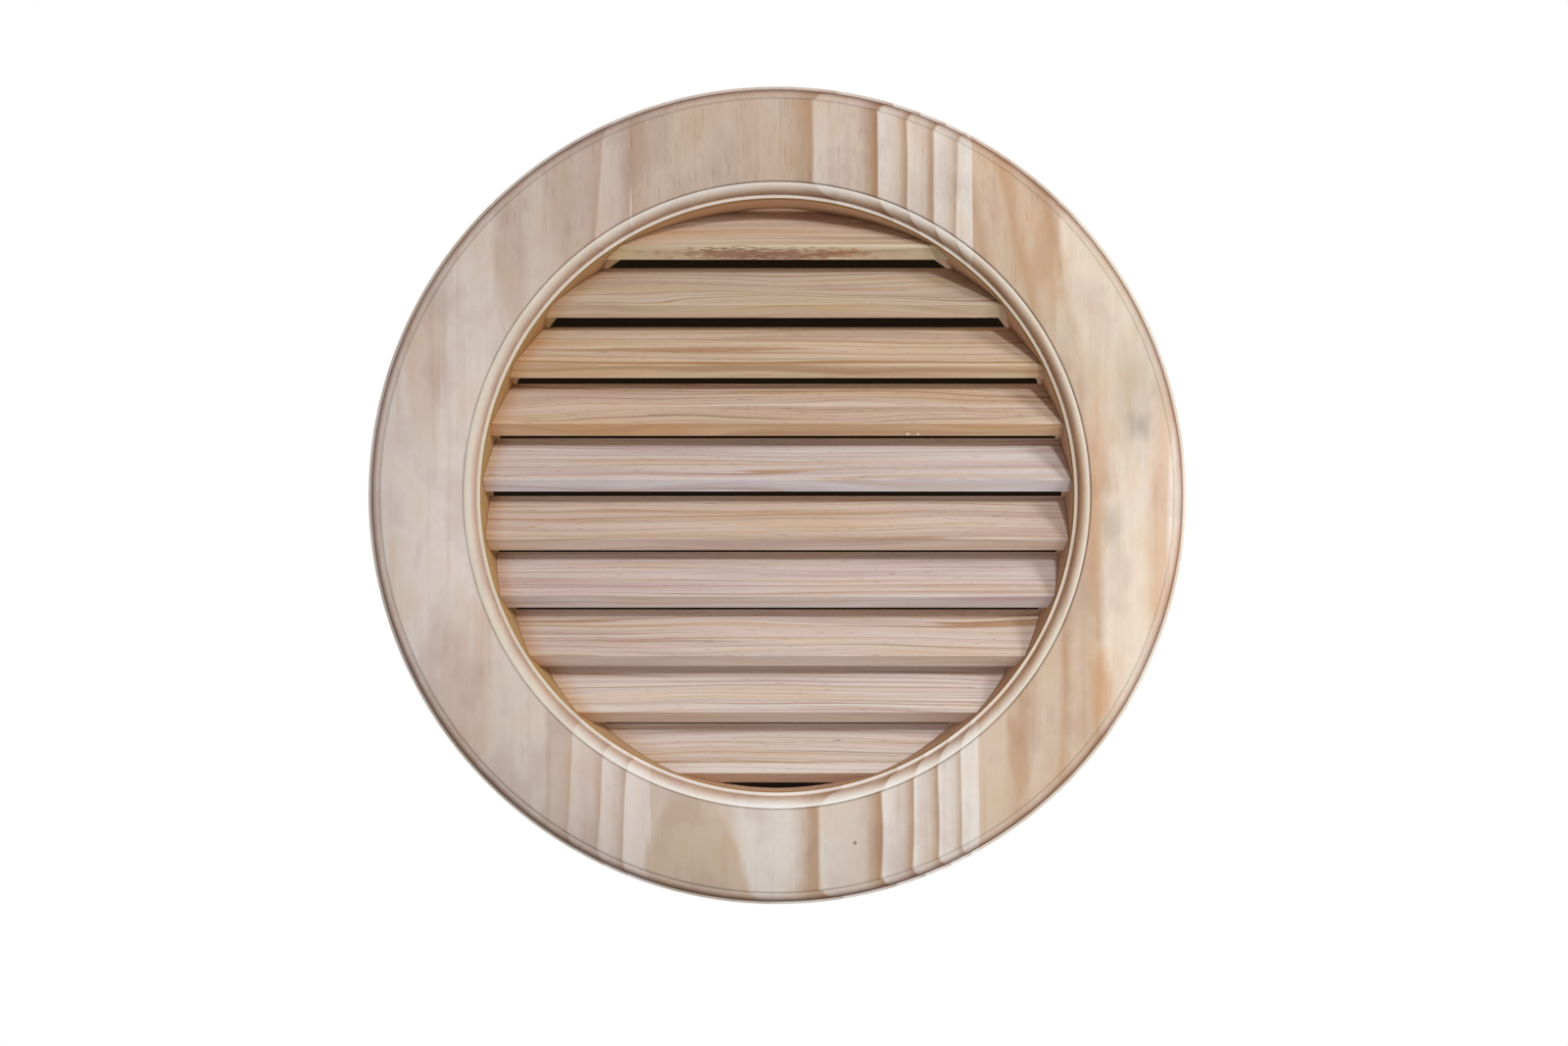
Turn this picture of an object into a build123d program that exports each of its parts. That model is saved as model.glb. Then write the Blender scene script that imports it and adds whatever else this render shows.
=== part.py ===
from build123d import *
import os
from math import cos, radians, sin, sqrt

# Round timber gable vent, in millimetres, +Z up, its face looking along -Y.
# The origin is on the axis, in the plane where the face ring lies against the wall.

# Face ring: one flat panel ring with the same bead cut along both edges,
# which leaves a lip round the opening in front of the barrel's rebate
opening_diameter = 400
ring_width = 75
ring_thickness = 19
bead_radius = 7
bead_lip = 2.5
bead_quirk = 1
lip_thickness = 6

# Barrel: bent ply strip, glued at full thickness into the rebate with its inside flush
# with the opening, and skimmed true outside where it goes into the wall
barrel_length = 45
barrel_wall = 10.5
barrel_skim = 1
lead_in = 1

# Slats: dressed pine, sloping down to the front, their ends scribed to a close fit in the
# barrel
slat_count = 10
slat_width = 42
slat_thickness = 12
slat_arris = 0.6
slat_tilt = 45
slat_clearance = 0.3

# Spacing: the top slat's back edge just clears the barrel, a slot for draining is left under
# the lowest, and each slat, set by hand, sits a share of the pitch off its even step
top_gap = 0.7
bottom_gap = 3.7
front_space_share = 0.15
slat_drift_shares = (0, 0, -0.038, -0.033, 0.008, -0.003, 0.01, 0, 0.035, 0)

# Brads: two through the barrel into each end of each slat, driven flush outside
brad_width = 1.6
brad_thickness = 1.4
brad_length = 38
brad_point = 3
brad_width_shares = (0.26, 0.74)

# Sizes that follow
half_turn = 180
quarter_turn = half_turn / 2
opening_radius = opening_diameter / 2
overall_radius = opening_radius + ring_width
quirk_y = bead_quirk - ring_thickness
lip_y = quirk_y + bead_radius
seat_y = lip_y + lip_thickness
seat_radius = opening_radius + barrel_wall
barrel_radius = seat_radius - barrel_skim
barrel_back = seat_y + barrel_length
scribe_radius = opening_radius - slat_clearance
tilt_cos = cos(radians(slat_tilt))
tilt_sin = sin(radians(slat_tilt))
slat_depth = slat_width * tilt_cos + slat_thickness * tilt_sin
slat_front = seat_y + (barrel_length - slat_depth) * front_space_share
top_arris_z = scribe_radius - top_gap - slat_width * tilt_sin
last_arris_z = bottom_gap - scribe_radius + slat_thickness * tilt_cos
slat_pitch = (top_arris_z - last_arris_z) / (slat_count - 1)


def ring_section():
    """Half section of the ring: radius along X, depth along Y."""
    inner_quirk = opening_radius + bead_lip + bead_radius
    outer_quirk = overall_radius - bead_lip - bead_radius
    back = Polyline(
        (inner_quirk - bead_radius, lip_y),
        (opening_radius, lip_y),
        (opening_radius, seat_y),
        (seat_radius, seat_y),
        (seat_radius, 0),
        (overall_radius, 0),
        (overall_radius, lip_y),
        (outer_quirk + bead_radius, lip_y),
    )
    outer_bead = CenterArc((outer_quirk, lip_y), bead_radius, 0, -quarter_turn)
    face = Polyline(
        (outer_quirk, quirk_y),
        (outer_quirk, -ring_thickness),
        (inner_quirk, -ring_thickness),
        (inner_quirk, quirk_y),
    )
    inner_bead = CenterArc((inner_quirk, lip_y), bead_radius, -quarter_turn, -quarter_turn)
    return make_face(back + outer_bead + face + inner_bead)


def barrel_section():
    """Half section of the barrel: seat in front, lead-in chamfer behind."""
    outline = Polyline(
        (opening_radius, seat_y),
        (seat_radius, seat_y),
        (seat_radius, 0),
        (barrel_radius, 0),
        (barrel_radius, barrel_back - lead_in),
        (barrel_radius - lead_in, barrel_back),
        (opening_radius, barrel_back),
        close=True,
    )
    return make_face(outline)


def cylinder_through(radius):
    """Cylinder on the vent's axis, longer than the vent is deep."""
    return Rotation(quarter_turn, 0, 0) * Cylinder(radius, opening_diameter)


def slat_centre(index):
    """Depth and height of the middle of a slat's section."""
    drift = slat_pitch * slat_drift_shares[index % len(slat_drift_shares)]
    arris_z = top_arris_z - slat_pitch * index + drift
    return (
        slat_front + slat_depth / 2,
        arris_z + (slat_width * tilt_sin - slat_thickness * tilt_cos) / 2,
    )


def slat(index):
    """One slat, its ends scribed to the round of the barrel."""
    y, z = slat_centre(index)
    end = Plane((-opening_radius, y, z), x_dir=(0, tilt_cos, tilt_sin), z_dir=(1, 0, 0))
    section = Rectangle(slat_width, slat_thickness)
    eased = chamfer(section.vertices(), slat_arris)
    return extrude(end * eased, opening_diameter) & cylinder_through(scribe_radius)


def brad(side_turn, y, z):
    """One wire brad along X with a chisel point, flush with the outside of the barrel."""
    tip = sqrt(barrel_radius**2 - z**2) - brad_length
    outline = Polyline(
        (tip, 0),
        (tip + brad_point, brad_thickness / 2),
        (barrel_radius + brad_point, brad_thickness / 2),
        (barrel_radius + brad_point, -brad_thickness / 2),
        (tip + brad_point, -brad_thickness / 2),
        close=True,
    )
    wire = extrude(make_face(outline), brad_width / 2, both=True)
    return Pos(0, y, z) * Rotation(0, 0, side_turn) * wire & cylinder_through(barrel_radius)


def slat_brads(index):
    """The brads at both ends of one slat."""
    y, z = slat_centre(index)
    brads = []
    for share in brad_width_shares:
        along = (share - 1 / 2) * slat_width
        for side_turn in (0, half_turn):
            brads.append(brad(side_turn, y + along * tilt_cos, z + along * tilt_sin))
    return brads


face_ring = revolve(ring_section(), Axis.Y)
barrel = revolve(barrel_section(), Axis.Y)
all_brads = []

os.makedirs("parts", exist_ok=True)
for index in range(slat_count):
    brads = slat_brads(index)
    all_brads += brads
    export_step(slat(index) - brads, f"parts/slat_{index + 1:02d}.step")
export_step(face_ring, "parts/face_ring.step")
export_step(barrel - all_brads, "parts/barrel.step")
export_step(Compound(children=all_brads), "parts/slat_brads.step")
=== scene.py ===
from math import hypot, pi, radians

import bmesh
import bpy
from mathutils import Matrix, Vector


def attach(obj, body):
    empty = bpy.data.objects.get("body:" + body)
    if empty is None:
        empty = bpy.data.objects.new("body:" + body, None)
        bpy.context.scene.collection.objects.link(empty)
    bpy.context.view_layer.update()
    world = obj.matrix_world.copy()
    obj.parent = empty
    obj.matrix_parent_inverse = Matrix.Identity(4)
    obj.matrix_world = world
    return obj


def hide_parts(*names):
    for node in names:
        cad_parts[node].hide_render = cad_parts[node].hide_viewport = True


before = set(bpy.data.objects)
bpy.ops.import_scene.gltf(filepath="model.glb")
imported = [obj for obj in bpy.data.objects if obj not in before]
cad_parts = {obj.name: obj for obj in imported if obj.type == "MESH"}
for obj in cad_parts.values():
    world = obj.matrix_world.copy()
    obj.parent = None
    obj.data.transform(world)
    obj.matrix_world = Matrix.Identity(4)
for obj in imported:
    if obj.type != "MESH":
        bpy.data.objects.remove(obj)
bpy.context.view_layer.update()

scene = bpy.context.scene
scene.view_settings.view_transform = "Standard"


# Face ring
# A flat ring routed from an edge-glued panel of fast-grown pine, sanded and left bare.
# A bead and a quirk run along both edges, and the back is rebated for the barrel.
mm = 0.001
opening_radius, outer_radius, ring_thickness = 200, 275, 19
bead_radius, bead_lip, bead_quirk = 7, 2.5, 1
seat_radius, seat_depth = 210.5, 5
quirk_y = bead_quirk - ring_thickness
lip_y = quirk_y + bead_radius
inner_quirk = opening_radius + bead_lip + bead_radius
outer_quirk = outer_radius - bead_lip - bead_radius
ring_corners = (
    (opening_radius, lip_y),
    (opening_radius, -seat_depth),
    (seat_radius, -seat_depth),
    (seat_radius, 0),
    (outer_radius, 0),
    (outer_radius, lip_y),
    (outer_radius - bead_lip, lip_y),
    (outer_radius - bead_lip, quirk_y),
    (outer_quirk, quirk_y),
    (outer_quirk, -ring_thickness),
    (inner_quirk, -ring_thickness),
    (inner_quirk, quirk_y),
    (opening_radius + bead_lip, quirk_y),
    (opening_radius + bead_lip, lip_y),
)
turn_steps = 240
bead_cut, bead_segments = bead_radius - 0.05, 10
eased, eased_segments = 0.4, 2
ring_rounding = (
    (outer_radius - bead_lip, quirk_y, bead_cut, bead_segments),
    (opening_radius + bead_lip, quirk_y, bead_cut, bead_segments),
    (opening_radius, lip_y, eased, eased_segments),
    (outer_radius, lip_y, eased, eased_segments),
    (outer_radius, 0, eased, eased_segments),
    (outer_quirk, -ring_thickness, eased, eased_segments),
    (inner_quirk, -ring_thickness, eased, eased_segments),
)


def turned(name, corners, rounding):
    """A closed half section of (radius, depth) corners, turned once about the vent's axis."""
    work = bmesh.new()
    verts = [work.verts.new((r * mm, y * mm, 0)) for r, y in corners]
    edges = [work.edges.new(pair) for pair in zip(verts, verts[1:] + verts[:1])]
    bmesh.ops.spin(work, geom=verts + edges, cent=(0, 0, 0), axis=(0, 1, 0), angle=2 * pi,
                   steps=turn_steps, use_merge=True)
    near = 0.02 * mm
    bmesh.ops.remove_doubles(work, verts=work.verts, dist=near)
    bmesh.ops.recalc_face_normals(work, faces=work.faces)
    for radius, depth, size, segments in rounding:
        arris = [e for e in work.edges if all(
            abs(v.co.y - depth * mm) < near and abs(hypot(v.co.x, v.co.z) - radius * mm) < near
            for v in e.verts)]
        bmesh.ops.bevel(work, geom=arris, offset=size * mm, offset_type="OFFSET", affect="EDGES",
                        segments=segments, profile=0.5, material=-1)
    sharp = radians(32)
    for face in work.faces:
        face.smooth = True
    for edge in work.edges:
        edge.smooth = edge.calc_face_angle(0) < sharp
    mesh = bpy.data.meshes.new(name)
    work.to_mesh(mesh)
    work.free()
    piece = bpy.data.objects.new(name, mesh)
    scene.collection.objects.link(piece)
    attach(piece, "root")
    return piece


def linear(hex_colour):
    """An sRGB hex colour as linear red, green, blue and alpha."""
    parts = [int(hex_colour[i:i + 2], 16) / 255 for i in (1, 3, 5)]
    return [p / 12.92 if p <= 0.04045 else ((p + 0.055) / 1.055) ** 2.4 for p in parts] + [1]


def add(tree, kind, links=(), stops=(), **settings):
    """Adds one shader node with its settings, feeds its inputs and returns its outputs."""
    made = tree.nodes.new("ShaderNode" + kind)
    for key, value in settings.items():
        setattr(made, key, value)
    for key, value in dict(links).items():
        if isinstance(value, bpy.types.NodeSocket):
            tree.links.new(value, made.inputs[key])
        else:
            made.inputs[key].default_value = value
    if stops:
        ramp = made.color_ramp.elements
        ramp[0].position, ramp[1].position = stops[0][0], stops[-1][0]
        for at, _ in stops[1:-1]:
            ramp.new(at)
        for element, (_, tone) in zip(ramp, stops):
            element.color = linear(tone) if isinstance(tone, str) else (tone, tone, tone, 1)
    return made.outputs


# Sanded radiata pine: wide pale earlywood that browns slowly into each latewood edge and
# stops there sharply, fine upright fibre streaks, and a dull, slightly silky surface.
ring_pine = bpy.data.materials.new("sanded_radiata_pine_panel")
ring_pine.use_nodes = True
tree = ring_pine.node_tree
place = add(tree, "TexCoord")["Object"]
in_mm = add(tree, "VectorMath", {0: place, "Scale": 1 / mm}, operation="SCALE")[0]
x, y, z = add(tree, "SeparateXYZ", {0: in_mm})
slow_wave = add(tree, "TexNoise", {
    "Vector": add(tree, "Mapping", {"Vector": in_mm, "Scale": (50, 50, 170)},
                  vector_type="TEXTURE")[0],
    "Scale": 1, "Detail": 2})[0]
jagged = add(tree, "TexNoise", {
    "Vector": add(tree, "Mapping", {"Vector": in_mm, "Scale": (5, 5, 90)},
                  vector_type="TEXTURE")[0],
    "Scale": 1, "Detail": 3})[0]
wave_mm, jag_mm = 8, 2
x_wavy = add(tree, "Math", {0: slow_wave, 1: wave_mm, 2: x}, operation="MULTIPLY_ADD")[0]
x_wavy = add(tree, "Math", {0: jagged, 1: jag_mm, 2: x_wavy}, operation="MULTIPLY_ADD")[0]
x_wavy = add(tree, "Math", {0: x_wavy, 1: -(wave_mm + jag_mm) / 2})[0]

# Each board of the panel: where its pith runs (across the face, and behind it), how the pith
# leans, tapers and bows along the board, how soft the rings' edges are, its last radius, its
# pale and brown colours, and its growth rings (radius where a ring starts, then its tone early,
# past the middle and late).
boards = (
    dict(pith=(-238, 68), lean=-0.045, taper=-0.011, bow=0, edge=0.4, last=185,
         pale="#dacec9", brown="#b19787",
         rings=((52, 0.05, 0.10, 0.30), (67.6, 0.04, 0.12, 0.26), (90, 0.28, 0.50, 0.72),
                (129, 0.26, 0.46, 0.78), (147.5, 0.14, 0.36, 0.85), (162.6, 0.04, 0.2, 0.4))),
    dict(pith=(-40, 160), lean=0.008, taper=0, bow=0, edge=0.4, last=242,
         pale="#e2dad5", brown="#a27850",
         rings=((150, 0.44, 0.46, 0.78), (172.9, 0.26, 0.40, 0.90), (193, 0.08, 0.36, 0.84),
                (204.9, 0.05, 0.36, 0.80), (216.3, 0.03, 0.28, 0.64), (226.6, 0.02, 0.10, 0.3))),
    dict(pith=(90, 120), lean=0, taper=0, bow=0.00042, edge=2.2, last=250,
         pale="#e3d6ca", brown="#b08660",
         rings=((118, 0.34, 0.46, 0.70), (144.2, 0.44, 0.54, 0.72), (159.5, 0.50, 0.64, 0.78),
                (175.5, 0.12, 0.14, 0.40))),
)
turn_brown, bow_middle, glue_soft = 0.66, -100, 0.2
board_colours = []
for board in boards:
    pith_x, pith_depth = board["pith"]
    across = add(tree, "Math", {0: z, 1: board["lean"], 2: x_wavy}, operation="MULTIPLY_ADD")[0]
    from_bow = add(tree, "Math", {0: z, 1: -bow_middle})[0]
    bowed = add(tree, "Math", {0: from_bow, 1: from_bow}, operation="MULTIPLY")[0]
    across = add(tree, "Math", {0: bowed, 1: board["bow"], 2: across}, operation="MULTIPLY_ADD")[0]
    across = add(tree, "Math", {0: across, 1: -pith_x})[0]
    behind = add(tree, "Math", {0: z, 1: -board["taper"], 2: y}, operation="MULTIPLY_ADD")[0]
    behind = add(tree, "Math", {0: behind, 1: ring_thickness - pith_depth})[0]
    section = add(tree, "CombineXYZ", {0: across, 1: behind})[0]
    radius = add(tree, "VectorMath", {0: section}, operation="LENGTH")["Value"]
    first, last = board["rings"][0][0], board["last"]
    share = add(tree, "MapRange", {0: radius, 1: first, 2: last})[0]
    ends = [ring[0] for ring in board["rings"][1:]] + [last]
    stops = []
    for (start, early, midway, late), end in zip(board["rings"], ends):
        turn = start + (end - start) * turn_brown
        for at, tone in (
                (start + board["edge"], early), (turn, midway), (end - board["edge"], late)):
            stops.append(((at - first) / (last - first), tone))
    tone = add(tree, "ValToRGB", {0: share}, stops)[0]
    board_colours.append(add(tree, "Mix", {
        "Factor": tone, "A": linear(board["pale"]), "B": linear(board["brown"])},
        data_type="RGBA")["Result"])
glue_lines = ((0.031, 91), (0.0108, -132.5))
colour = board_colours[0]
for (lean, offset), next_colour in zip(glue_lines, board_colours[1:]):
    beyond = add(tree, "Math", {0: z, 1: lean, 2: x}, operation="MULTIPLY_ADD")[0]
    beyond = add(tree, "MapRange", {0: beyond, 1: -offset - glue_soft, 2: -offset + glue_soft})[0]
    colour = add(tree, "Mix", {"Factor": beyond, "A": colour, "B": next_colour},
                 data_type="RGBA")["Result"]

# Figure and stains that plain rings don't give, and a painted highlight on the right outer bead:
# the middle of each (across and up), its half sizes, its lean, how soft its border is, its colour
# and how much it covers. They lean to the right behind the face, as the rings do.
marks = (
    dict(at=(-236, 88), half=(12, 46), lean=0, soft=0.3, tint="#d2bfb2", cover=0.75),
    dict(at=(-179, 162), half=(11, 50), lean=2, soft=0.35, tint="#bea99c", cover=0.65),
    dict(at=(-143, 196), half=(9, 40), lean=3, soft=0.5, tint="#bba391", cover=0.5),
    dict(at=(-208, -140), half=(26, 64), lean=3, soft=0.55, tint="#c6b0a2", cover=0.75),
    dict(at=(-174, -166), half=(20, 62), lean=5, soft=0.12, tint="#cfc2b8", cover=0.6),
    dict(at=(-8, -240), half=(22, 60), lean=0, soft=0.4, tint="#d8cfca", cover=0.85),
    dict(at=(-50, -290), half=(36, 92), lean=7, soft=0.08, tint="#c0aa97", cover=0.85),
    dict(at=(179, 170), half=(7, 34), lean=-12, soft=0.4, tint="#bd9c82", cover=0.6),
    dict(at=(200, 150), half=(12, 50), lean=-10, soft=0.6, tint="#d9c9b9", cover=0.6),
    dict(at=(226, 118), half=(24, 62), lean=-6, soft=0.8, tint="#d0c4b3", cover=0.55),
    dict(at=(208, 22), half=(15, 58), lean=0, soft=0.7, tint="#d0aa8b", cover=0.6),
    dict(at=(213, 0), half=(5, 76), lean=0, soft=0.5, tint="#cda585", cover=0.5),
    dict(at=(256, -20), half=(9, 98), lean=0, soft=0.6, tint="#cca688", cover=0.6),
    dict(at=(234, -78), half=(18, 54), lean=-4, soft=0.5, tint="#dfccb9", cover=0.6),
    dict(at=(161, -174), half=(7, 28), lean=10, soft=0.4, tint="#bb987b", cover=0.6),
    dict(at=(238, 70), half=(14, 38), lean=0, soft=0.8, tint="#b7a99b", cover=0.55),
    dict(at=(238, 47), half=(6, 9), lean=0, soft=0.7, tint="#9d958c", cover=0.5),
    dict(at=(223, -20), half=(6, 13), lean=0, soft=0.7, tint="#b3a598", cover=0.5),
    dict(at=(217, -131), half=(7, 22), lean=0, soft=0.5, tint="#c79d7c", cover=0.75),
    dict(at=(208, 78), half=(14, 42), lean=0, soft=0.7, tint="#d8c5b3", cover=0.6),
    # Painted highlight: a pale band down the right outer bead, which faces the lamps.
    dict(at=(266, 10), half=(5, 140), lean=0, soft=0.4, tint="#efe4da", cover=0.6),
    dict(at=(52, -232), half=(1.0, 1.2), lean=0, soft=0.4, tint="#7d5f4c", cover=0.75),
)
face_shift, ragged_share = 1.5, 2
x_face = add(tree, "Math", {0: y, 1: -face_shift, 2: x_wavy}, operation="MULTIPLY_ADD")[0]
x_face = add(tree, "Math", {0: x_face, 1: -face_shift * ring_thickness})[0]
on_face = add(tree, "CombineXYZ", {0: x_face, 2: z})[0]
ragged = add(tree, "TexNoise", {
    "Vector": add(tree, "Mapping", {"Vector": in_mm, "Scale": (7, 7, 20)},
                  vector_type="TEXTURE")[0],
    "Scale": 1, "Detail": 4})[0]
ragged = add(tree, "Math", {0: ragged, 1: -0.5})[0]
for mark in marks:
    (mark_x, mark_z), (half_x, half_z) = mark["at"], mark["half"]
    from_mark = add(tree, "Mapping", {
        "Vector": on_face, "Location": (mark_x, 0, mark_z),
        "Rotation": (0, -radians(mark["lean"]), 0), "Scale": (half_x, 1, half_z)},
        vector_type="TEXTURE")[0]
    reach = add(tree, "VectorMath", {0: from_mark}, operation="LENGTH")["Value"]
    reach = add(tree, "Math", {0: ragged, 1: ragged_share * mark["soft"], 2: reach},
                operation="MULTIPLY_ADD")[0]
    cover = add(tree, "MapRange", {
        0: reach, 1: 1 - mark["soft"], 2: 1 + mark["soft"], 3: mark["cover"], 4: 0},
        interpolation_type="SMOOTHSTEP")[0]
    colour = add(tree, "Mix", {"Factor": cover, "A": colour, "B": linear(mark["tint"])},
                 data_type="RGBA")["Result"]

# Upright fibre streaks about half a millimetre wide, broader brown ones between them, short
# dark scratches along the fibre, most of them high up, slow clouds of tone over the whole
# panel, and painted shade that darkens the upper part a little.
fibre = add(tree, "TexNoise", {
    "Vector": add(tree, "Mapping", {"Vector": in_mm, "Scale": (1.0, 1.0, 60)},
                  vector_type="TEXTURE")[0],
    "Scale": 1, "Detail": 4, "Roughness": 0.6})[0]
streak = add(tree, "TexNoise", {
    "Vector": add(tree, "Mapping", {"Vector": in_mm, "Scale": (6, 6, 150)},
                  vector_type="TEXTURE")[0],
    "Scale": 1, "Detail": 3})[0]
scratch = add(tree, "TexNoise", {
    "Vector": add(tree, "Mapping", {"Vector": in_mm, "Scale": (0.6, 0.6, 15)},
                  vector_type="TEXTURE")[0],
    "Scale": 1, "Detail": 2})[0]
few_at, most_at, few, most = 60, 200, 0.86, 1.06
more_up = add(tree, "MapRange", {0: z, 1: few_at, 2: most_at, 3: few, 4: most})[0]
scratch = add(tree, "Math", {0: scratch, 1: more_up}, operation="MULTIPLY")[0]
cloud = add(tree, "TexNoise", {
    "Vector": add(tree, "Mapping", {"Vector": in_mm, "Scale": (28, 28, 45)},
                  vector_type="TEXTURE")[0],
    "Scale": 1, "Detail": 4, "Roughness": 0.6})[0]
height = add(tree, "MapRange", {0: z, 1: -outer_radius, 2: outer_radius})[0]
for pattern, share, stops in (
        (fibre, 0.22, ((0.3, "#e8dfd9"), (0.55, "#ffffff"))),
        (streak, 0.3, ((0.52, "#ffffff"), (0.75, "#dfc9b7"))),
        (scratch, 0.45, ((0.64, "#ffffff"), (0.78, "#a88c7c"))),
        (cloud, 0.6, ((0.35, "#ebe3e3"), (0.5, "#ffffff"), (0.68, "#faeddc"))),
        # Painted shade: the upper part of the ring is darkened a little.
        (height, 1.0, ((0.3, "#ffffff"), (0.85, "#f0ece8")))):
    tint = add(tree, "ValToRGB", {0: pattern}, stops)[0]
    colour = add(tree, "Mix", {"Factor": share, "A": colour, "B": tint},
                 data_type="RGBA", blend_type="MULTIPLY")["Result"]

# The routed edges: painted shade darkens the quirks, the feet of the beads and the outer
# round-over, and a painted highlight makes the crowns and lips creamier than the face, whiter low
# down, greyer high up and duller at the left, which is painted shade. Each stop is a radius and a
# tone or a share.
# Painted shade: darker tones in the quirks, at the bead feet and over the outer round-over.
painted_shade_stops = (
    (200.0, 1.0), (201.7, 1.0), (202.4, "#e6d2c2"), (203.2, "#ecdccf"), (204.4, "#f8efe7"),
    (206.0, 1.0), (209.0, 1.0), (209.4, 0.68), (210.0, 0.70), (210.6, 1.0),
    (264.1, 1.0), (264.6, 0.80), (265.3, 0.74), (265.9, 0.94),
    (268.4, "#f2eae8"), (270.2, "#d6c8c4"), (271.6, "#a89a98"), (272.8, "#ac9e9c"),
    (273.3, 1.0), (275.0, 1.0))
# Painted highlight: shares of cream on the lips and bead crowns.
painted_highlight_stops = (
    (200.0, 0.6), (201.6, 0.6), (202.2, 0.1), (204.4, 0.1), (206.5, 0.35), (208.2, 0.75),
    (209.0, 0.75), (209.3, 0.0), (265.6, 0.0), (266.6, 0.1), (269.0, 0.05), (271.0, 0.0),
    (273.0, 0.0), (273.4, 0.3), (275.0, 0.3))
flat = add(tree, "VectorMath", {0: in_mm, 1: (1, 0, 1)}, operation="MULTIPLY")[0]
from_axis = add(tree, "VectorMath", {0: flat}, operation="LENGTH")["Value"]
ring_width = outer_radius - opening_radius
share = add(tree, "MapRange", {0: from_axis, 1: opening_radius, 2: outer_radius})[0]
painted_shade, highlight_share = (
    add(tree, "ValToRGB", {0: share}, [((r - opening_radius) / ring_width, t) for r, t in tones])[0]
    for tones in (painted_shade_stops, painted_highlight_stops))
front_to, front_end = lip_y + 0.3, lip_y + 0.6
in_front = add(tree, "MapRange", {0: y, 1: front_end, 2: front_to})[0]
highlight_share = add(tree, "Math", {0: highlight_share, 1: in_front}, operation="MULTIPLY")[0]
# Painted light: the cream is whiter low down, where the bead faces up, and greyer high up.
highlight_tone = add(tree, "ValToRGB", {0: height}, (
    (0.10, "#f6f2f0"), (0.24, "#e8dccf"), (0.75, "#e8dccf"), (0.88, "#dad2cd")))[0]
# Painted shade: the cream is duller at the left.
sideways = add(tree, "MapRange", {0: x, 1: -outer_radius, 2: outer_radius})[0]
left_shade = add(tree, "ValToRGB", {0: sideways}, ((0.13, "#e2e4d8"), (0.32, "#ffffff")))[0]
highlight_tone = add(tree, "Mix", {"Factor": 1.0, "A": highlight_tone, "B": left_shade},
            data_type="RGBA", blend_type="MULTIPLY")["Result"]
colour = add(tree, "Mix", {"Factor": highlight_share, "A": colour, "B": highlight_tone}, data_type="RGBA")["Result"]
colour = add(tree, "Mix", {"Factor": in_front, "A": colour, "B": painted_shade},
             data_type="RGBA", blend_type="MULTIPLY")["Result"]

# Painted light: the wall inside the opening, behind the lip, is mixed to a warm tan standing in
# for the warm light bounced between the pine surfaces.
wall_to, wall_end = opening_radius + 0.3, opening_radius + 0.5
wall_from, wall_full = lip_y + 0.4, lip_y + 0.8
inside = add(tree, "MapRange", {0: from_axis, 1: wall_to, 2: wall_end, 3: 1, 4: 0})[0]
behind_lip = add(tree, "MapRange", {0: y, 1: wall_from, 2: wall_full})[0]
inside = add(tree, "Math", {0: inside, 1: behind_lip}, operation="MULTIPLY")[0]
colour = add(tree, "Mix", {"Factor": inside, "A": colour, "B": linear("#b18b5a")},
             data_type="RGBA")["Result"]
tree.links.new(colour, tree.nodes["Principled BSDF"].inputs["Base Color"])
rough = add(tree, "MapRange", {0: fibre, 3: 0.62, 4: 0.5})[0]
tree.links.new(rough, tree.nodes["Principled BSDF"].inputs["Roughness"])
nap = add(tree, "Bump", {"Height": fibre, "Strength": 0.2, "Distance": 0.12 * mm})[0]
tree.links.new(nap, tree.nodes["Principled BSDF"].inputs["Normal"])
tree.nodes["Principled BSDF"].inputs["Specular IOR Level"].default_value = 0.05

face_ring = turned("pine_face_ring", ring_corners, ring_rounding)
face_ring.data.materials.append(ring_pine)
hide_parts("face_ring")


# Barrel
# A strip of ply bent into a hoop and glued into the rebate behind the ring, its inside
# flush with the ring's opening; the outside is skimmed true.
barrel_outside, barrel_back, lead_in, back_eased = 209.5, 40, 1, 0.3
barrel_corners = (
    (opening_radius, -seat_depth),
    (seat_radius, -seat_depth),
    (seat_radius, 0),
    (barrel_outside, 0),
    (barrel_outside, barrel_back - lead_in),
    (barrel_outside - lead_in, barrel_back),
    (opening_radius, barrel_back),
)
barrel_rounding = ((opening_radius, barrel_back, back_eased, eased_segments),)

# Pine ply: warm tan face veneer whose grain runs round the hoop, with painted light at the left,
# where it is tinted yellower for the warm light on that side, and darker plies and glue lines
# where the sheet's edge shows.
liner_ply = bpy.data.materials.new("bent_pine_ply")
liner_ply.use_nodes = True
tree = liner_ply.node_tree
place = add(tree, "TexCoord")
in_mm = add(tree, "VectorMath", {0: place["Object"], "Scale": 1 / mm}, operation="SCALE")[0]
grain = add(tree, "TexNoise", {
    "Vector": add(tree, "Mapping", {"Vector": in_mm, "Scale": (80, 2, 80)},
                  vector_type="TEXTURE")[0],
    "Scale": 1, "Detail": 4, "Roughness": 0.6})[0]
face_colour = add(tree, "ValToRGB", {0: grain}, (
    (0.3, "#cba187"), (0.5, "#d5b09a"), (0.7, "#ddc0ac")))[0]
sideways = add(tree, "SeparateXYZ", {0: in_mm})[0]
sideways = add(tree, "MapRange", {0: sideways, 1: -opening_radius, 2: opening_radius})[0]
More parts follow.
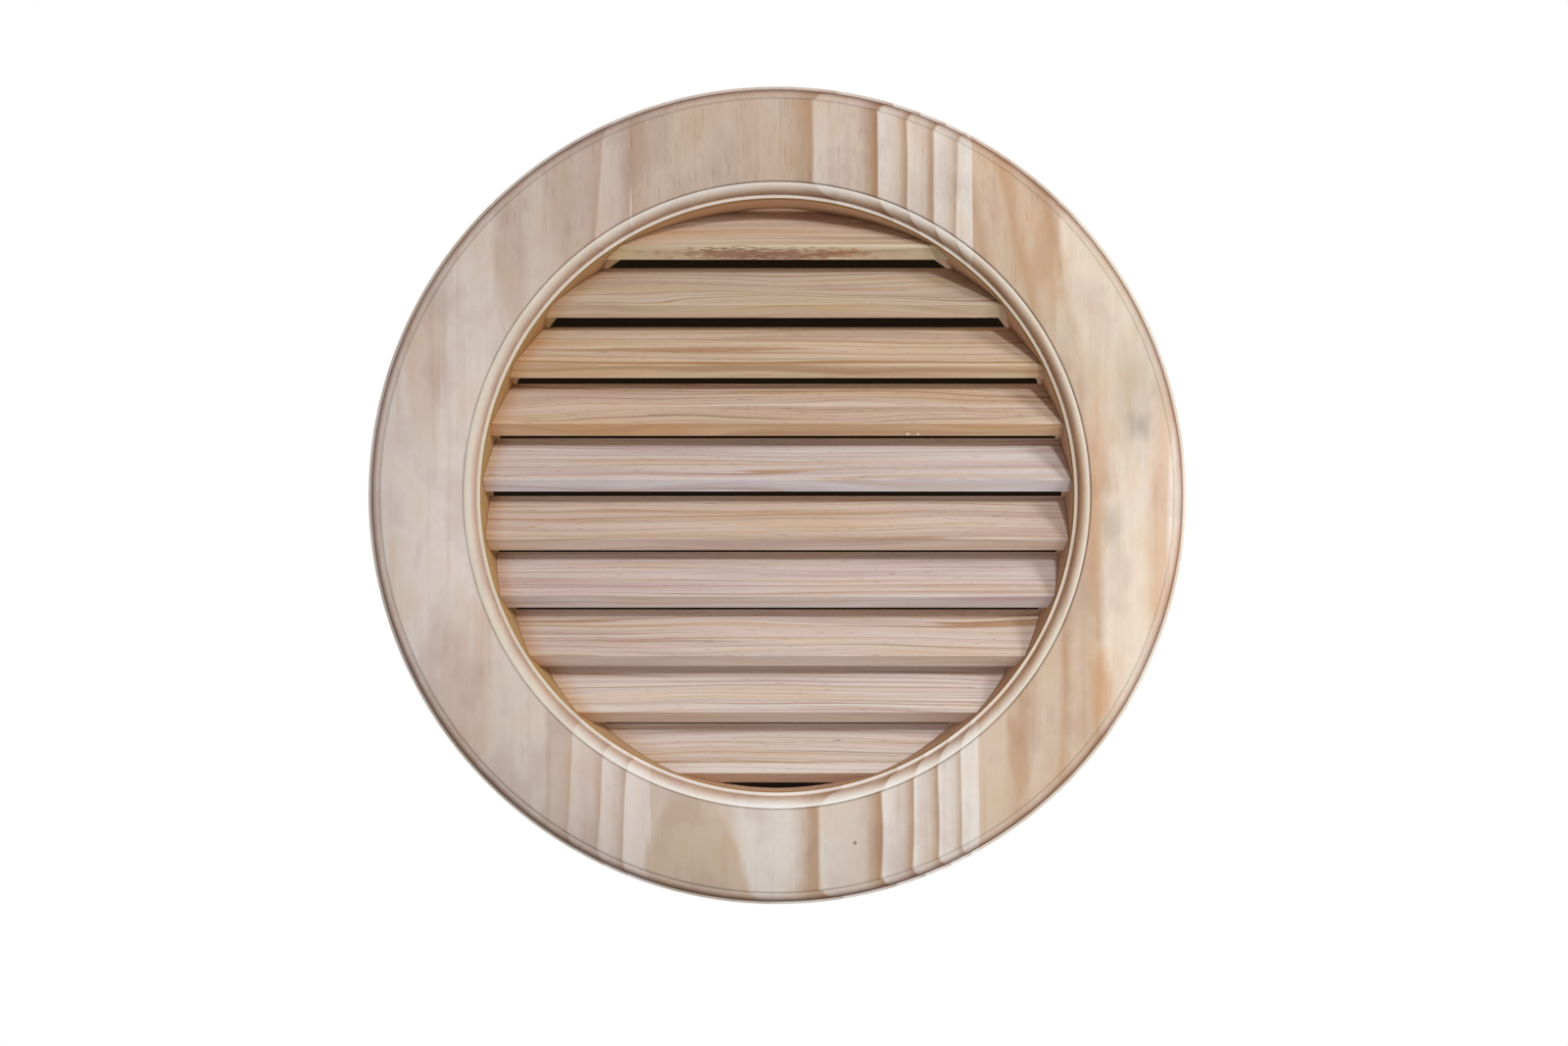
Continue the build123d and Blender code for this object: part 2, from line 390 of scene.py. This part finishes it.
# Painted light: yellower towards the left, for the warm light falling on that side of the wall.
painted_left_warmth = add(tree, "ValToRGB", {0: sideways}, ((0.08, "#dfd6ab"), (0.5, "#fffaf0")))[0]
face_colour = add(tree, "Mix", {"Factor": 1.0, "A": face_colour, "B": painted_left_warmth},
                  data_type="RGBA", blend_type="MULTIPLY")["Result"]
flat = add(tree, "VectorMath", {0: in_mm, 1: (1, 0, 1)}, operation="MULTIPLY")[0]
from_axis = add(tree, "VectorMath", {0: flat}, operation="LENGTH")["Value"]
ply_thickness = 2.4
in_ply = add(tree, "Math", {0: from_axis, 1: -opening_radius})[0]
in_ply = add(tree, "Math", {0: in_ply, 1: ply_thickness * 2}, operation="MODULO")[0]
ply_share = add(tree, "MapRange", {0: in_ply, 1: 0, 2: ply_thickness * 2})[0]
edge_colour = add(tree, "ValToRGB", {0: ply_share}, (
    (0.0, "#ab916e"), (0.46, "#a98d69"), (0.49, "#6d5238"), (0.52, "#8f7150"), (0.96, "#967756"),
    (1.0, "#6d5238")))[0]
facing = add(tree, "SeparateXYZ", {0: place["Normal"]})[1]
facing = add(tree, "Math", {0: facing}, operation="ABSOLUTE")[0]
on_edge = add(tree, "MapRange", {0: facing, 1: 0.5, 2: 0.9})[0]
colour = add(tree, "Mix", {"Factor": on_edge, "A": face_colour, "B": edge_colour},
             data_type="RGBA")["Result"]
tree.links.new(colour, tree.nodes["Principled BSDF"].inputs["Base Color"])
rough = add(tree, "MapRange", {0: grain, 3: 0.7, 4: 0.55})[0]
tree.links.new(rough, tree.nodes["Principled BSDF"].inputs["Roughness"])
nap = add(tree, "Bump", {"Height": grain, "Strength": 0.3, "Distance": 0.2 * mm})[0]
tree.links.new(nap, tree.nodes["Principled BSDF"].inputs["Normal"])
tree.nodes["Principled BSDF"].inputs["Specular IOR Level"].default_value = 0

barrel = turned("bent_ply_barrel", barrel_corners, barrel_rounding)
barrel.data.materials.append(liner_ply)
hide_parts("barrel")


# Slats
# Ten lengths of dressed pine, scribed to the barrel and set at 45 degrees, their
# grain running along them; each one came from a different stick, so each has its own tone.
slat_tilt, stick_shift, uneven_years = radians(45), 1370, 3
edge_from, edge_full, edge_share, edge_fainter = 0.9, 1.3, 0.5, 3
# Painted light: a warm orange tint near the slats' left ends, for light bounced off the lit wall.
bounce_from, bounce_full, bounce_cover = 186, 201, 0.75
bounce_left_from, bounce_left_full = -40, -130

# Each stick: its ground, soft streak, latewood and front edge colours, the spacing of its growth
# rings, and how its grain leans through it and wanders along it. The front edge colour is partly
# the wood and partly painted light, set for how the downward-facing edge is lit.
slat_sticks = (
    dict(pale="#cdb7a5", brown="#a38165", late="#9c7450", edge="#dacbae",
         spacing=6.5, lean=0.3, bend=14),
    dict(pale="#c4b3a2", brown="#a08166", late="#9f7249", edge="#d2bba3",
         spacing=5.5, lean=0.7, bend=30),
    dict(pale="#ceb9a4", brown="#a8866a", late="#a2754c", edge="#d8bda1",
         spacing=6.5, lean=-0.5, bend=16),
    dict(pale="#d2beae", brown="#a48269", late="#9d7450", edge="#cfac8e",
         spacing=9.0, lean=0.9, bend=36),
    dict(pale="#d1c4c1", brown="#b39f95", late="#ae8a6a", edge="#dcd4da",
         spacing=7.5, lean=-0.5, bend=12),
    dict(pale="#d0bdb1", brown="#aa8c77", late="#a0744e", edge="#d6c0b5",
         spacing=4.5, lean=0.5, bend=16),
    dict(pale="#d1c1bd", brown="#af958b", late="#ab8464", edge="#d5c7c6",
         spacing=8.5, lean=0.5, bend=12),
    dict(pale="#d5c4bc", brown="#b19685", late="#a9805c", edge="#d5c1b9",
         spacing=6.0, lean=-0.7, bend=18),
    dict(pale="#d9ccc7", brown="#b29987", late="#a77e58", edge="#d1b9ac",
         spacing=6.5, lean=0.4, bend=14),
    dict(pale="#d2c4be", brown="#b79e8e", late="#b08c6c", edge="#c6aa95",
         spacing=9.0, lean=-0.5, bend=12),
)

# What single sticks show besides: the slat's number, the middle of the mark (across and up), its
# half sizes, how soft it is, its colour and how much it covers.
broken_share = 4
slat_marks = (
    dict(slat=1, at=(-10, 164.6), half=(74, 3.0), soft=0.7, tint="#ae7c5e", cover=0.55),
    dict(slat=1, at=(-30, 164.4), half=(24, 3.2), soft=0.8, tint="#83564c", cover=0.65),
    dict(slat=1, at=(2, 164.2), half=(22, 2.6), soft=0.8, tint="#8a5f5a", cover=0.65),
    dict(slat=1, at=(38, 164.8), half=(18, 2.0), soft=0.8, tint="#94654e", cover=0.6),
    dict(slat=4, at=(89, 42), half=(1.0, 0.7), soft=0.3, tint="#f4ece2", cover=0.9),
    dict(slat=4, at=(96, 42), half=(0.8, 0.6), soft=0.3, tint="#f4ece2", cover=0.9),
    dict(slat=10, at=(0, -185.3), half=(400, 3.2), soft=0.15, tint="#dccfca", cover=0.7),
    dict(slat=10, at=(0, -181.4), half=(400, 0.5), soft=0.5, tint="#a98a55", cover=0.6),
)
for index, stick in enumerate(slat_sticks):
    # Dressed pine: thin orange-brown latewood lines of uneven strength on a pale ground, soft
    # streaks and hairlines between them and a few short dark resin canals, on a planed surface,
    # with painted light at its left end: a warm orange tint for light bounced off the lit barrel
    # wall.
    slat_pine = bpy.data.materials.new(f"dressed_pine_slat_{index + 1:02d}")
    slat_pine.use_nodes = True
    tree = slat_pine.node_tree
    place = add(tree, "TexCoord")
    along = add(tree, "Mapping", {
        "Vector": place["Object"], "Location": (index * stick_shift, 0, 0),
        "Rotation": (-slat_tilt, 0, 0), "Scale": (1 / mm, 1 / mm, 1 / mm)})[0]
    bend = add(tree, "TexNoise", {
        "Vector": add(tree, "Mapping", {"Vector": along, "Scale": (190, 38, 38)},
                      vector_type="TEXTURE")[0],
        "Scale": 1, "Detail": 1.5})[0]
    length, width, thick = add(tree, "SeparateXYZ", {0: along})
    rise = add(tree, "Math", {0: thick, 1: stick["lean"], 2: width}, operation="MULTIPLY_ADD")[0]
    rise = add(tree, "Math", {0: bend, 1: stick["bend"], 2: rise}, operation="MULTIPLY_ADD")[0]
    grain_place = add(tree, "CombineXYZ", {0: length, 1: rise})[0]
    streak = add(tree, "TexNoise", {
        "Vector": add(tree, "Mapping", {"Vector": grain_place, "Scale": (650, 3, 1)},
                      vector_type="TEXTURE")[0],
        "Scale": 1, "Detail": 5, "Roughness": 0.6}, noise_dimensions="2D")[0]
    uneven = add(tree, "TexNoise", {
        "Vector": add(tree, "Mapping", {"Vector": grain_place, "Scale": (600, 11, 1)},
                      vector_type="TEXTURE")[0],
        "Scale": 1, "Detail": 1}, noise_dimensions="2D")[0]
    ring = add(tree, "Math", {0: rise, 1: 1 / stick["spacing"]}, operation="MULTIPLY")[0]
    ring = add(tree, "Math", {0: uneven, 1: uneven_years, 2: ring}, operation="MULTIPLY_ADD")[0]
    year = add(tree, "Math", {0: ring}, operation="FLOOR")[0]
    strength = add(tree, "TexWhiteNoise", {"W": year}, noise_dimensions="1D")[0]
    strength = add(tree, "MapRange", {0: strength, 3: 0.1, 4: 1.0})[0]
    season = add(tree, "Math", {0: ring}, operation="FRACT")[0]
    line = add(tree, "ValToRGB", {0: season}, (
        (0, 0.0), (0.5, 0.03), (0.80, 0.18), (0.88, 0.95), (0.95, 1.0), (1, 0.0)))[0]
    line = add(tree, "Math", {0: line, 1: strength}, operation="MULTIPLY")[0]
    soft = add(tree, "MapRange", {0: streak, 1: 0.35, 2: 0.7, 4: 0.42})[0]
    facing = add(tree, "VectorMath", {0: place["Normal"], 1: (0, -1, -1)},
                 operation="DOT_PRODUCT")["Value"]
    on_edge = add(tree, "MapRange", {0: facing, 1: edge_from, 2: edge_full})[0]
    on_face = add(tree, "MapRange", {0: on_edge, 3: 1, 4: edge_share})[0]
    soft, line = (add(tree, "Math", {0: share, 1: on_face}, operation="MULTIPLY")[0]
                  for share in (soft, line))
    # Partly painted light: the front edges get their own colour, set for how they are lit.
    colour = add(tree, "Mix", {
        "Factor": on_edge, "A": linear(stick["pale"]), "B": linear(stick["edge"])},
        data_type="RGBA")["Result"]
    patch = add(tree, "TexNoise", {
        "Vector": add(tree, "Mapping", {"Vector": grain_place, "Scale": (240, 9, 1)},
                      vector_type="TEXTURE")[0],
        "Scale": 1, "Detail": 3}, noise_dimensions="2D")[0]
    patch = add(tree, "ValToRGB", {0: patch}, (
        (0.3, "#e9dbda"), (0.5, "#ffffff"), (0.7, "#faead2")))[0]
    colour = add(tree, "Mix", {"Factor": 0.8, "A": colour, "B": patch},
                 data_type="RGBA", blend_type="MULTIPLY")["Result"]
    for share, tint in ((soft, stick["brown"]), (line, stick["late"])):
        colour = add(tree, "Mix", {"Factor": share, "A": colour, "B": linear(tint)},
                     data_type="RGBA")["Result"]
    for mark in slat_marks:
        if mark["slat"] == index + 1:
            (mark_x, mark_z), (half_x, half_z) = mark["at"], mark["half"]
            broken = add(tree, "TexNoise", {
                "Vector": add(tree, "Mapping", {"Vector": along, "Scale": (7, 1.3, 1.3)},
                              vector_type="TEXTURE")[0],
                "Scale": 1, "Detail": 3})[0]
            broken = add(tree, "Math", {0: broken, 1: -0.5})[0]
            from_mark = add(tree, "Mapping", {
                "Vector": place["Object"], "Location": (mark_x * mm, 0, mark_z * mm),
                "Scale": (half_x * mm, 1, half_z * mm)}, vector_type="TEXTURE")[0]
            reach = add(tree, "VectorMath", {0: from_mark}, operation="LENGTH")["Value"]
            half_soft = mark["soft"] / 2
            reach = add(tree, "Math", {0: broken, 1: broken_share * mark["soft"], 2: reach},
                        operation="MULTIPLY_ADD")[0]
            cover = add(tree, "MapRange", {
                0: reach, 1: 1 - half_soft, 2: 1 + half_soft, 3: mark["cover"], 4: 0})[0]
            colour = add(tree, "Mix", {"Factor": cover, "A": colour, "B": linear(mark["tint"])},
                         data_type="RGBA")["Result"]
    # Painted light: warm light bounced off the lit barrel wall, tinted onto the left ends.
    from_middle = add(tree, "VectorMath", {0: place["Object"], 1: (1 / mm, 0, 1 / mm)},
                      operation="MULTIPLY")[0]
    sideways = add(tree, "SeparateXYZ", {0: from_middle})[0]
    bounce_near_end = add(tree, "VectorMath", {0: from_middle}, operation="LENGTH")["Value"]
    bounce_near_end = add(tree, "MapRange", {0: bounce_near_end, 1: bounce_from, 2: bounce_full, 4: bounce_cover},
                   interpolation_type="SMOOTHSTEP")[0]
    bounce_on_left = add(tree, "MapRange", {0: sideways, 1: bounce_left_from, 2: bounce_left_full})[0]
    bounce_near_end = add(tree, "Math", {0: bounce_near_end, 1: bounce_on_left}, operation="MULTIPLY")[0]
    colour = add(tree, "Mix", {"Factor": bounce_near_end, "A": colour, "B": linear("#eccca4")},
                 data_type="RGBA", blend_type="MULTIPLY")["Result"]
    hairline = add(tree, "TexNoise", {
        "Vector": add(tree, "Mapping", {"Vector": grain_place, "Scale": (330, 1.2, 1)},
                      vector_type="TEXTURE")[0],
        "Scale": 1, "Detail": 2}, noise_dimensions="2D")[0]
    canal = add(tree, "TexNoise", {
        "Vector": add(tree, "Mapping", {"Vector": along, "Scale": (11, 0.7, 0.7)},
                      vector_type="TEXTURE")[0],
        "Scale": 1, "Detail": 1})[0]
    for pattern, most, stops in (
            (hairline, 0.46, ((0.58, "#ffffff"), (0.68, "#a5836b"))),
            (canal, 0.6, ((0.68, "#ffffff"), (0.75, "#94705c")))):
        tint = add(tree, "ValToRGB", {0: pattern}, stops)[0]
        share = add(tree, "MapRange", {0: on_edge, 3: most, 4: most / edge_fainter})[0]
        colour = add(tree, "Mix", {"Factor": share, "A": colour, "B": tint},
                     data_type="RGBA", blend_type="MULTIPLY")["Result"]
    tree.links.new(colour, tree.nodes["Principled BSDF"].inputs["Base Color"])
    rough = add(tree, "MapRange", {0: streak, 3: 0.65, 4: 0.5})[0]
    tree.links.new(rough, tree.nodes["Principled BSDF"].inputs["Roughness"])
    nap = add(tree, "Bump", {"Height": streak, "Strength": 0.25, "Distance": 0.15 * mm})[0]
    tree.links.new(nap, tree.nodes["Principled BSDF"].inputs["Normal"])
    tree.nodes["Principled BSDF"].inputs["Specular IOR Level"].default_value = 0.1
    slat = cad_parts[f"slat_{index + 1:02d}"]
    slat.data.materials.clear()
    slat.data.materials.append(slat_pine)


# Brads
# Flat wire brads driven through the barrel into the slat ends, cut off flush outside.
# Drawn steel wire gone a little dull.
brad_steel = bpy.data.materials.new("dull_steel_wire")
brad_steel.use_nodes = True
tree = brad_steel.node_tree
place = add(tree, "TexCoord")["Object"]
wear = add(tree, "TexNoise", {"Vector": place, "Scale": 0.4 / mm, "Detail": 3})[0]
colour = add(tree, "ValToRGB", {0: wear}, ((0.35, "#6f6a66"), (0.65, "#9a9896")))[0]
tree.links.new(colour, tree.nodes["Principled BSDF"].inputs["Base Color"])
rough = add(tree, "MapRange", {0: wear, 3: 0.55, 4: 0.35})[0]
tree.links.new(rough, tree.nodes["Principled BSDF"].inputs["Roughness"])
tree.nodes["Principled BSDF"].inputs["Metallic"].default_value = 1
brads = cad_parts["slat_brads"]
brads.data.materials.clear()
brads.data.materials.append(brad_steel)


# Floor and painted shade
# A plain pale floor below the vent, and a self-lit dark card behind the slats, painted shade for
# the unlit space there, with a strip of it under the lowest one painting that slat's shadow; they
# only show from in front, through the open slots.
floor_half, floor_back, floor_z, floor_glow = 1.6, 0.2, -0.46, 0.5
work = bmesh.new()
bmesh.ops.create_grid(work, x_segments=1, y_segments=1, size=floor_half)
bmesh.ops.translate(work, verts=work.verts, vec=(0, floor_back - floor_half, floor_z))
floor_mesh = bpy.data.meshes.new("pale_floor")
work.to_mesh(floor_mesh)
work.free()
floor = bpy.data.objects.new("pale_floor", floor_mesh)
scene.collection.objects.link(floor)

# Matt pale floor paint: a glow makes it almost white to the eye, and the glow throws no light on
# the vent.
floor_paint = bpy.data.materials.new("matt_pale_floor")
floor_paint.use_nodes = True
tree = floor_paint.node_tree
tree.nodes["Principled BSDF"].inputs["Base Color"].default_value = linear("#cfcfcb")
tree.nodes["Principled BSDF"].inputs["Roughness"].default_value = 0.9
path = add(tree, "LightPath")
seen = path["Is Camera Ray"]
for kind in ("Is Glossy Ray", "Is Transmission Ray"):
    seen = add(tree, "Math", {0: seen, 1: path[kind]}, operation="MAXIMUM")[0]
glow = add(tree, "Math", {0: seen, 1: floor_glow}, operation="MULTIPLY")[0]
tree.links.new(glow, tree.nodes["Principled BSDF"].inputs["Emission Strength"])
tree.nodes["Principled BSDF"].inputs["Emission Color"].default_value = linear("#ffffff")
floor.data.materials.append(floor_paint)

# Painted shade: a dark card behind the slats and a shadow strip under the lowest one.
card_radius, card_y = opening_radius - 0.4, 34.4
shadow_strip_y, shadow_strip_top = 5.4, -195.5
work = bmesh.new()
for depth, top in ((shadow_strip_y, shadow_strip_top), (card_y, card_radius)):
    upright = Matrix.Translation((0, depth * mm, 0)) @ Matrix.Rotation(radians(90), 4, "X")
    disc = bmesh.ops.create_circle(work, cap_ends=True, segments=turn_steps,
                                   radius=card_radius * mm, matrix=upright)["verts"]
    edges = {edge for vert in disc for edge in vert.link_edges}
    faces = {face for vert in disc for face in vert.link_faces}
    bmesh.ops.bisect_plane(work, geom=disc + list(edges) + list(faces),
                           plane_co=(0, 0, top * mm), plane_no=(0, 0, 1), clear_outer=True)
card_mesh = bpy.data.meshes.new("painted_shade_card")
work.to_mesh(card_mesh)
work.free()
card = bpy.data.objects.new("painted_shade_card", card_mesh)
scene.collection.objects.link(card)

# Painted shade: a dark brown that shines the same everywhere, in place of the shade behind the
# slats and under the lowest one; it can't be seen from behind.
shade_card_paint = bpy.data.materials.new("painted_shade_card_material")
shade_card_paint.use_nodes = True
tree = shade_card_paint.node_tree
clear = add(tree, "BsdfTransparent")[0]
black = add(tree, "Emission", {"Color": linear("#1a130c")})[0]
from_behind = add(tree, "NewGeometry")["Backfacing"]
shown = add(tree, "MixShader", {0: from_behind, 1: black, 2: clear})[0]
tree.links.new(shown, tree.nodes["Material Output"].inputs["Surface"])
card.data.materials.append(shade_card_paint)
card.visible_diffuse = card.visible_glossy = False
card.visible_transmission = card.visible_shadow = False


# Light
# A lamp in front at the right and above, a weaker one at the right, a narrow one level with
# the rim at the upper left, a low one behind, and a pale room that is warmer than the lamps
# and brighter overhead, in front and at the right.
lamp_tint = linear("#f2fbff")[:3]
for name, place, aim, width, height, watts in (
        ("key", (0.60, -2.34, 0.92), (0, 0, 0), 0.22, 0.22, 31),
        ("right", (0.9, -0.9, 0.42), (0, 0, 0), 0.3, 0.3, 7),
        ("left", (-1.2, 0.01, 0.85), (0, 0.01, 0), 0.05, 0.6, 4.5),
        ("rear", (0, 2.4, -0.85), (0, 0, 0), 0.8, 0.8, 42)):
    light = bpy.data.lights.new(name, "AREA")
    light.shape, light.size, light.size_y = "ELLIPSE", width, height
    light.energy, light.color = watts, lamp_tint
    lamp = bpy.data.objects.new(name, light)
    lamp.location = place
    lamp.rotation_euler = (Vector(aim) - Vector(place)).to_track_quat("-Z", "Y").to_euler()
    scene.collection.objects.link(lamp)

low_level, high_level = 0.18, 0.42
front_full, behind_full, front_share, behind_share = -0.9, 0.25, 1.3, 0.1
left_share, right_share = 0.55, 2.0
room = bpy.data.worlds.new("pale_room")
scene.world = room
room.use_nodes = True
tree = room.node_tree
path = add(tree, "LightPath")
seen = path["Is Camera Ray"]
for kind in ("Is Glossy Ray", "Is Transmission Ray"):
    seen = add(tree, "Math", {0: seen, 1: path[kind]}, operation="MAXIMUM")[0]
right, back, up = add(tree, "SeparateXYZ", {0: add(tree, "TexCoord")["Generated"]})
room_level = add(tree, "MapRange", {0: up, 1: -1, 2: 1, 3: low_level, 4: high_level})[0]
by_depth = add(tree, "MapRange", {
    0: back, 1: front_full, 2: behind_full, 3: front_share, 4: behind_share})[0]
by_side = add(tree, "MapRange", {0: right, 1: -1, 2: 1, 3: left_share, 4: right_share})[0]
for share in (by_depth, by_side):
    room_level = add(tree, "Math", {0: room_level, 1: share}, operation="MULTIPLY")[0]
strength = add(tree, "Mix", {"Factor": seen, "A": room_level, "B": 1.0})["Result"]
tree.links.new(strength, tree.nodes["Background"].inputs["Strength"])
tint = add(tree, "Mix", {"Factor": seen, "A": linear("#fff0e2"), "B": linear("#ffffff")},
           data_type="RGBA")["Result"]
tree.links.new(tint, tree.nodes["Background"].inputs["Color"])


# Camera
# Straight on, about a metre in front of the ring's face.
sensor_mm, lens_mm = 36, 34.4
camera_x, camera_y, camera_z = 4.6, -1019, -18.6
camera_data = bpy.data.cameras.new("camera")
camera_data.sensor_width, camera_data.lens = sensor_mm, lens_mm
camera = bpy.data.objects.new("camera", camera_data)
camera.location = (camera_x * mm, camera_y * mm, camera_z * mm)
camera.rotation_euler = (radians(90), 0, 0)
scene.collection.objects.link(camera)
scene.camera = camera
